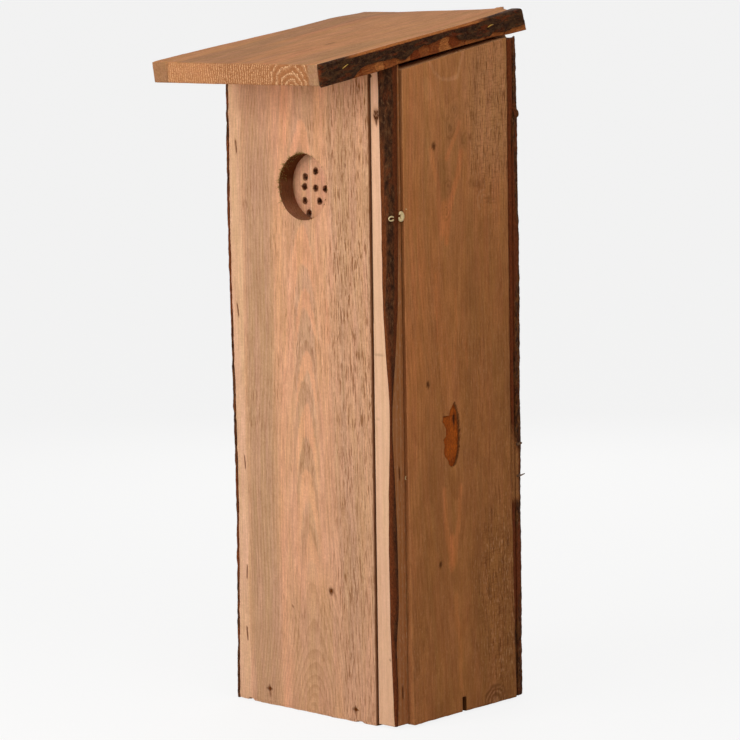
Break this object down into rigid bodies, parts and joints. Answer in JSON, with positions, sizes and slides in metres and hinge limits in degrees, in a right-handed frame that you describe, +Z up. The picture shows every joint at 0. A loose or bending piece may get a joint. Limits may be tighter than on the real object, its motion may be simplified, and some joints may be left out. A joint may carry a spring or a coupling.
{
  "type": "woodpecker nest box",
  "caption": "Tall live-edge plank nest box for woodpeckers with a sloping roof, a round entrance backed by a peck-out panel, and a side door that swings up on two nails.",
  "frame": {"origin": "middle of the base, on the floor board's underside", "axes": "+Z up, -Y out of the entrance, +X out of the side door, +Y towards the tree"},
  "size_m": [0.174, 0.2215, 0.5273],
  "materials": {
    "front_wood": "rough sawn, bare",
    "post_wood": "rough sawn sapwood, bare",
    "side_wood": "rough sawn, bare",
    "back_wood": "rough sawn, bare",
    "floor_wood": "rough sawn, bare",
    "roof_wood": "rough sawn, bare, with open end grain",
    "door_wood": "rough sawn, bare",
    "panel_wood": "sawn softwood, bare",
    "bark": "thin dark bark, matt",
    "roof_bark": "thin dark bark with orange inner bark",
    "steel": "plain wire, dulled"
  },
  "bodies": {
    "box": {"front_board": "front_wood", "front_board_bark": "bark", "peck_panel": "panel_wood", "peck_panel_staples": "steel", "corner_post": "post_wood", "corner_post_bark": "bark", "left_side_board": "side_wood", "back_board": "back_wood", "back_board_bark": "bark", "floor_board": "floor_wood", "roof_board": "roof_wood", "roof_bark": "roof_bark", "front_pivot_nail": "steel", "rear_pivot_nail": "steel", "front_board_staples": "steel", "front_floor_nails": "steel", "corner_post_staples": "steel", "side_floor_nails": "steel", "back_board_staples": "steel", "back_floor_nails": "steel", "roof_staples": "steel"},
    "door": {"side_door": "door_wood"}
  },
  "joints": [
    {"name": "door_swing", "type": "hinge", "parent": "box", "child": "door", "pos_m": [0.0714, 0, 0.4545], "axis": [0, -1, 0], "range_deg": [0, 110]}
  ]
}
